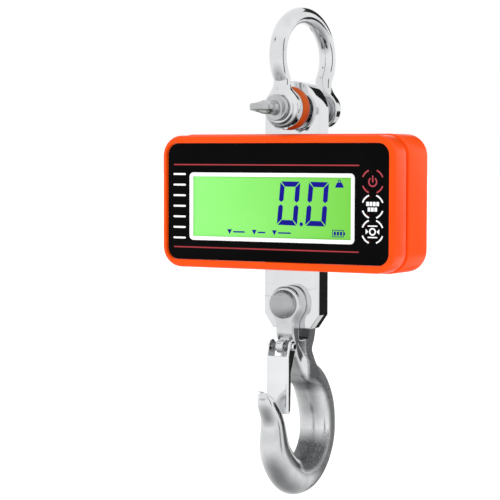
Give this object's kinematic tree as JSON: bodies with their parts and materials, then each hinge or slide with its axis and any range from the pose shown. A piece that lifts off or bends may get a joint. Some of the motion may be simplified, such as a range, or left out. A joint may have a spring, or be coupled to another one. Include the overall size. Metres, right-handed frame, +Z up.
{
  "type": "crane scale",
  "caption": "Hanging digital scale: flat load plate between a bow shackle and a latched clevis hook, with a wide orange display housing round the plate.",
  "frame": {"origin": "inside of the shackle bow's crown, where the scale hangs from what holds it up", "axes": "+Z up along the load line, -Y towards the reader of the display, +X to the reader's right"},
  "size_m": [0.206, 0.1197, 0.3782],
  "materials": {
    "polished_steel": "polished",
    "plate_steel": "satin",
    "forged_steel": "plated forging",
    "sheet_steel": "plated sheet",
    "screw_steel": "plated",
    "spring_steel": "plain",
    "orange_plastic": "gloss",
    "spacer_plastic": "satin",
    "black_panel": "gloss",
    "white_plastic": "satin",
    "display_green": "gloss",
    "light_guide": "satin",
    "black_rubber": "matt",
    "circuit_board": "satin",
    "dark_plastic": "matt",
    "gauge_film": "satin",
    "cell_jacket": "gloss",
    "cable_sheath": "satin"
  },
  "bodies": {
    "shackle": {"shackle_bow": "polished_steel", "shackle_pin": "polished_steel"},
    "hook": {"hook": "forged_steel", "clevis_pin": "polished_steel", "clevis_ring": "spring_steel", "latch_pin": "sheet_steel"},
    "latch": {"latch": "sheet_steel", "latch_spring_left": "spring_steel", "latch_spring_right": "spring_steel"},
    "power_key": {"key_power": "black_panel"},
    "hold_key": {"key_hold": "black_panel"},
    "tare_key": {"key_tare": "black_panel"},
    "scale": {"spacer_rear": "polished_steel", "load_plate": "plate_steel", "plate_screw_1": "screw_steel", "plate_screw_2": "screw_steel", "cover_screw_1": "screw_steel", "cover_screw_2": "screw_steel", "cover_screw_3": "screw_steel", "cover_screw_4": "screw_steel", "board_screw_1": "screw_steel", "board_screw_2": "screw_steel", "board_screw_3": "screw_steel", "board_screw_4": "screw_steel", "battery_cover_screw_1": "screw_steel", "battery_cover_screw_2": "screw_steel", "battery_contact_left": "spring_steel", "battery_contact_right": "spring_steel", "front_cover": "orange_plastic", "rear_cover": "orange_plastic", "battery_cover": "orange_plastic", "spacer_front": "spacer_plastic", "front_overlay": "black_panel", "lcd_frame": "white_plastic", "lcd_glass": "display_green", "lcd_backlight": "light_guide", "cover_gasket": "black_rubber", "plate_seal_top": "black_rubber", "plate_seal_bottom": "black_rubber", "main_board": "circuit_board", "receiver_board": "circuit_board", "battery_tray": "dark_plastic", "key_switch_1": "dark_plastic", "key_switch_2": "dark_plastic", "key_switch_3": "dark_plastic", "strain_gauge_1": "gauge_film", "strain_gauge_2": "gauge_film", "strain_gauge_3": "gauge_film", "strain_gauge_4": "gauge_film", "battery_cell_1": "cell_jacket", "battery_cell_2": "cell_jacket", "battery_cell_3": "cell_jacket", "sensor_cable": "cable_sheath", "battery_lead": "cable_sheath"}
  },
  "joints": [
    {"name": "shackle_pivot", "type": "hinge", "parent": "shackle", "child": "scale", "pos_m": [0, -0.01, -0.0655], "axis": [0, 1, 0], "range_deg": [-90, 90]},
    {"name": "hook_pivot", "type": "hinge", "parent": "scale", "child": "hook", "pos_m": [0, -0.01, -0.2155], "axis": [0, 1, 0], "range_deg": [-90, 90]},
    {"name": "latch_pivot", "type": "hinge", "parent": "hook", "child": "latch", "pos_m": [0, -0.0322, -0.2477], "axis": [1, 0, 0], "range_deg": [0, 35], "stiffness_Nm_per_rad": 0.06, "springref_deg": -22.92},
    {"name": "key_power_press", "type": "slide", "parent": "scale", "child": "power_key", "axis": [0, 1, 0], "range_m": [0, 0.0004], "stiffness_N_per_m": 800, "springref_m": -0.0004},
    {"name": "key_hold_press", "type": "slide", "parent": "scale", "child": "hold_key", "axis": [0, 1, 0], "range_m": [0, 0.0004], "stiffness_N_per_m": 800, "springref_m": -0.0004},
    {"name": "key_tare_press", "type": "slide", "parent": "scale", "child": "tare_key", "axis": [0, 1, 0], "range_m": [0, 0.0004], "stiffness_N_per_m": 800, "springref_m": -0.0004}
  ]
}
